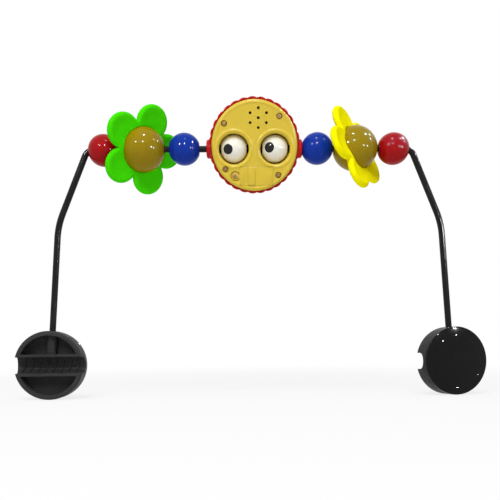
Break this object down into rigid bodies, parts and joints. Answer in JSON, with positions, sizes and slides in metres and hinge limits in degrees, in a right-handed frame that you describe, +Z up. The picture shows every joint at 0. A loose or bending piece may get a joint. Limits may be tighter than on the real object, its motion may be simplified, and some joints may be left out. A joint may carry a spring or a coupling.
{
  "type": "toy bar for a baby bouncer",
  "caption": "Bent steel wire arch with a swivelling channel clip on each foot, threaded with spinning beads, tilted flower rattles and a round face with rolling eyes.",
  "frame": {"origin": "midway between the centres of the two clips, on the wire's plane", "axes": "+X along the bar from the left clip to the right clip as the child's parent sees the toy, +Y away from the viewer, +Z up"},
  "size_m": [0.4462, 0.0692, 0.2835],
  "materials": {
    "black_steel": "black semi-gloss coating on steel wire",
    "black_matte": "black moulded plastic, satin",
    "black_gloss": "black moulded plastic, polished",
    "red": "gloss red",
    "blue": "gloss blue",
    "green": "satin bright green",
    "yellow": "satin lemon yellow",
    "ochre": "glossy tinted olive and amber",
    "mustard": "satin mustard yellow",
    "white": "gloss white",
    "black_eye": "gloss black",
    "steel": "plain steel",
    "board": "green circuit board laminate"
  },
  "bodies": {
    "wire_bar": {"toy_bar_wire": "black_steel"},
    "left_clip": {"left_clip_body": "black_matte", "left_clip_cap": "black_gloss"},
    "right_clip": {"right_clip_body": "black_matte", "right_clip_cap": "black_gloss"},
    "left_red_bead": {"left_red_bead_outer_half": "red", "left_red_bead_inner_half": "red"},
    "left_blue_bead": {"left_blue_bead_outer_half": "blue", "left_blue_bead_inner_half": "blue"},
    "right_blue_bead": {"right_blue_bead_outer_half": "blue", "right_blue_bead_inner_half": "blue"},
    "right_red_bead": {"right_red_bead_outer_half": "red", "right_red_bead_inner_half": "red"},
    "green_flower": {"green_flower_petals": "green", "green_flower_ball_front": "ochre", "green_flower_ball_back": "ochre"},
    "yellow_flower": {"yellow_flower_petals": "yellow", "yellow_flower_ball_front": "ochre", "yellow_flower_ball_back": "ochre"},
    "face": {"face_front": "mustard", "face_back": "red", "case_screw_upper_left": "steel", "case_screw_upper_right": "steel", "case_screw_lower_left": "steel", "case_screw_lower_right": "steel", "battery_cover": "mustard", "cover_screw": "steel", "button_cell_left": "steel", "button_cell_right": "steel", "speaker": "steel", "circuit_board": "board"},
    "left_eye": {"left_eye_left_half": "white", "left_eye_right_half": "white", "left_eye_pupil": "black_eye"},
    "right_eye": {"right_eye_left_half": "white", "right_eye_right_half": "white", "right_eye_pupil": "black_eye"}
  },
  "joints": [
    {"name": "left_clip_swivel", "type": "hinge", "parent": "wire_bar", "child": "left_clip", "pos_m": [-0.19005, 0, 0], "axis": [0.0628, 0, 0.998], "continuous": true},
    {"name": "right_clip_swivel", "type": "hinge", "parent": "wire_bar", "child": "right_clip", "pos_m": [0.19005, 0, 0], "axis": [-0.0628, 0, 0.998], "continuous": true},
    {"name": "left_red_bead_spin", "type": "hinge", "parent": "wire_bar", "child": "left_red_bead", "pos_m": [-0.13766, 0, 0.20223], "axis": [0.9984, 0, 0.0564], "continuous": true},
    {"name": "left_blue_bead_spin", "type": "hinge", "parent": "wire_bar", "child": "left_blue_bead", "pos_m": [-0.06196, 0, 0.20303], "axis": [1, 0, 0], "continuous": true},
    {"name": "right_blue_bead_spin", "type": "hinge", "parent": "wire_bar", "child": "right_blue_bead", "pos_m": [0.06388, 0, 0.20303], "axis": [1, 0, 0], "continuous": true},
    {"name": "right_red_bead_spin", "type": "hinge", "parent": "wire_bar", "child": "right_red_bead", "pos_m": [0.13666, 0, 0.20251], "axis": [0.9993, 0, -0.037], "continuous": true},
    {"name": "green_flower_spin", "type": "hinge", "parent": "wire_bar", "child": "green_flower", "pos_m": [-0.10161, 0, 0.20303], "axis": [1, 0, 0], "continuous": true},
    {"name": "yellow_flower_spin", "type": "hinge", "parent": "wire_bar", "child": "yellow_flower", "pos_m": [0.09998, 0, 0.20303], "axis": [1, 0, 0], "continuous": true},
    {"name": "face_spin", "type": "hinge", "parent": "wire_bar", "child": "face", "pos_m": [0.00416, 0, 0.20303], "axis": [1, 0, 0], "continuous": true},
    {"name": "left_eye_roll", "type": "hinge", "parent": "face", "child": "left_eye", "pos_m": [-0.01514, 0, 0.20303], "axis": [1, 0, 0], "continuous": true},
    {"name": "right_eye_roll", "type": "hinge", "parent": "face", "child": "right_eye", "pos_m": [0.02346, 0, 0.20303], "axis": [1, 0, 0], "continuous": true}
  ]
}
